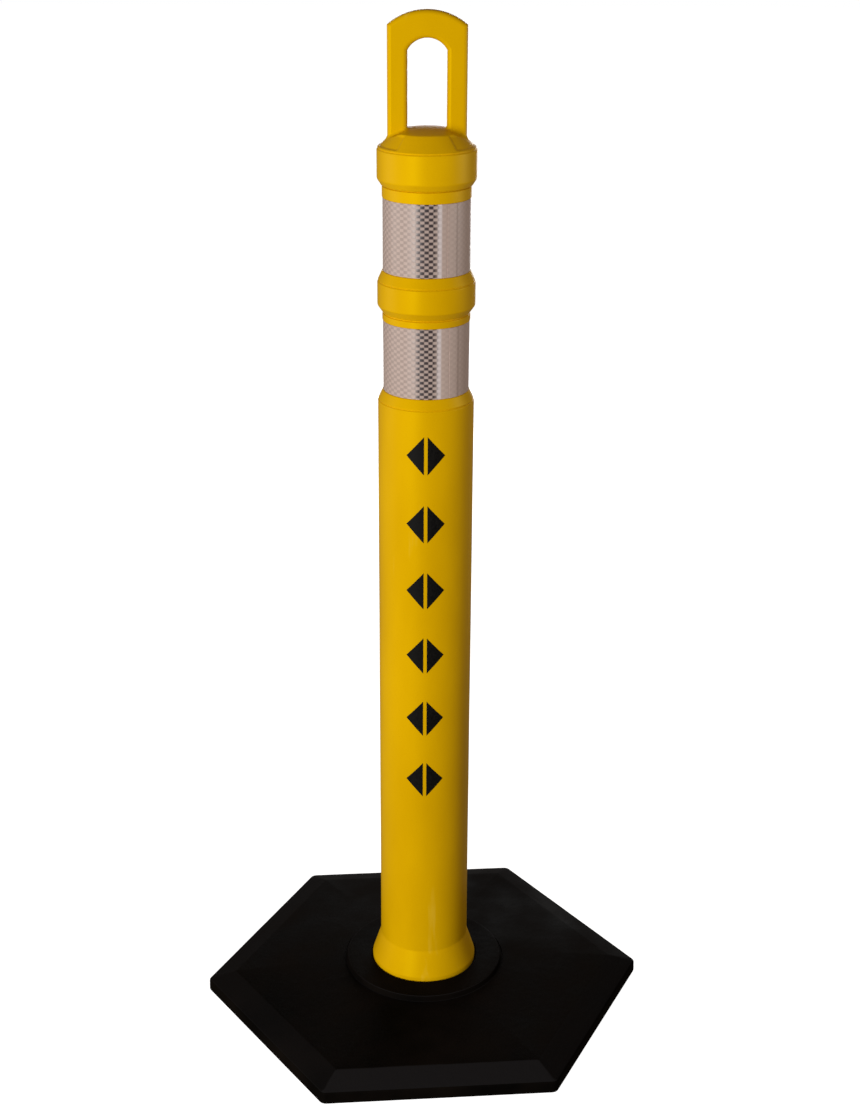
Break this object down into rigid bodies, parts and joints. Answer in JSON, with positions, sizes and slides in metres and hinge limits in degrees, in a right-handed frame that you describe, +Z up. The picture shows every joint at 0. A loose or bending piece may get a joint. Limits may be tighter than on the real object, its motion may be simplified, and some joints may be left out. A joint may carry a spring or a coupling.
{
  "type": "delineator post",
  "caption": "Tall yellow tubular delineator post with a loop handle, white reflective bands, black stencilled marks and a drop-over hexagonal rubber base.",
  "frame": {"origin": "on the ground under the post's axis, at the centre of the base's underside", "axes": "+Z up along the post, marked front of the post towards -Y, handle's width along X"},
  "size_m": [0.5222, 0.4738, 1.143],
  "materials": {
    "yellow_plastic": "moulded polyethylene, safety yellow, softly satin",
    "reflective_sheeting": "white prismatic reflective sheeting with a diamond lattice",
    "black_paint": "flat black stencil paint",
    "black_rubber": "moulded recycled rubber, fine granular texture"
  },
  "bodies": {
    "post": {"post_tube": "yellow_plastic", "handle_cap": "yellow_plastic", "upper_reflective_band": "reflective_sheeting", "lower_reflective_band": "reflective_sheeting", "stencil_mark_1": "black_paint", "stencil_mark_2": "black_paint", "stencil_mark_3": "black_paint", "stencil_mark_4": "black_paint", "stencil_mark_5": "black_paint", "stencil_mark_6": "black_paint"},
    "base": {"rubber_base": "black_rubber"}
  },
  "joints": [
    {"name": "base_lift", "type": "slide", "parent": "post", "child": "base", "axis": [0, 0, 1], "range_m": [0, 1.2]}
  ]
}
